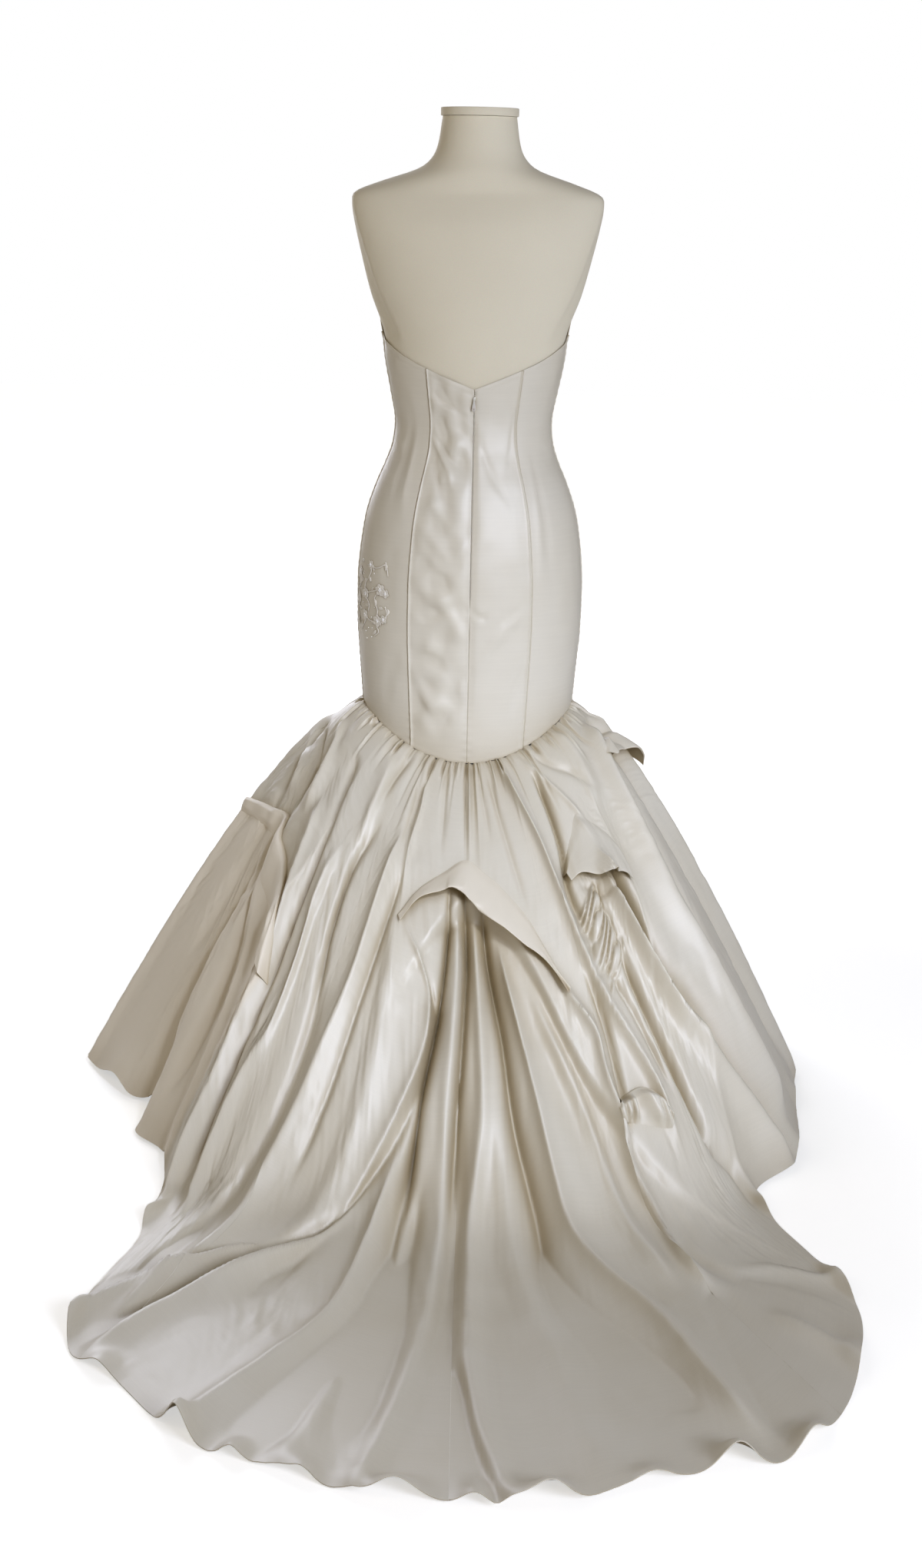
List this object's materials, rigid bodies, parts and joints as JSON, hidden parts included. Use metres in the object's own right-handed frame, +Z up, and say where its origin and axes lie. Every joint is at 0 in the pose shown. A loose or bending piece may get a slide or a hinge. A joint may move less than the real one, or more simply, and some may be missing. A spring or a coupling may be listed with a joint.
{
  "type": "mermaid gown on dress form",
  "caption": "Strapless satin mermaid gown with a fitted, seamed bodice, a gathered skirt with turned-back pick-ups and a long train, worn on a limbless linen dress form.",
  "frame": {"origin": "on the floor under the middle of the dress form's pole", "axes": "+Z up; the gown's front faces -Y and its train runs out to +Y; +X is the wearer's left"},
  "size_m": [1.1922, 1.7295, 1.545],
  "materials": {
    "satin": "ivory silk satin with a soft sheen",
    "lace": "matte ivory corded lace",
    "linen": "matte cream linen",
    "painted_steel": "black satin paint",
    "zip_metal": "ivory enamel"
  },
  "bodies": {
    "gown_on_form": {"bodice_centre_front": "satin", "bodice_side_front_left": "satin", "bodice_side_back_left": "satin", "bodice_centre_back_left": "satin", "bodice_centre_back_right": "satin", "bodice_side_back_right": "satin", "bodice_side_front_right": "satin", "skirt_front": "satin", "skirt_side_left": "satin", "skirt_train_left": "satin", "skirt_train_right": "satin", "skirt_side_right": "satin", "pick_up_centre": "satin", "pick_up_right": "satin", "pick_up_left": "satin", "pick_up_side": "satin", "pick_up_lower": "satin", "hip_applique": "lace", "zip_slider": "zip_metal", "form_torso": "linen", "form_neck_cap": "linen", "form_pole": "painted_steel", "form_base": "painted_steel"},
    "zip_pull": {"zip_pull": "zip_metal"}
  },
  "joints": [
    {"name": "pull_tab_swing", "type": "hinge", "parent": "gown_on_form", "child": "zip_pull", "pos_m": [0, 0.09544, 1.121], "axis": [1, 0, 0], "range_deg": [-8, 150]}
  ]
}
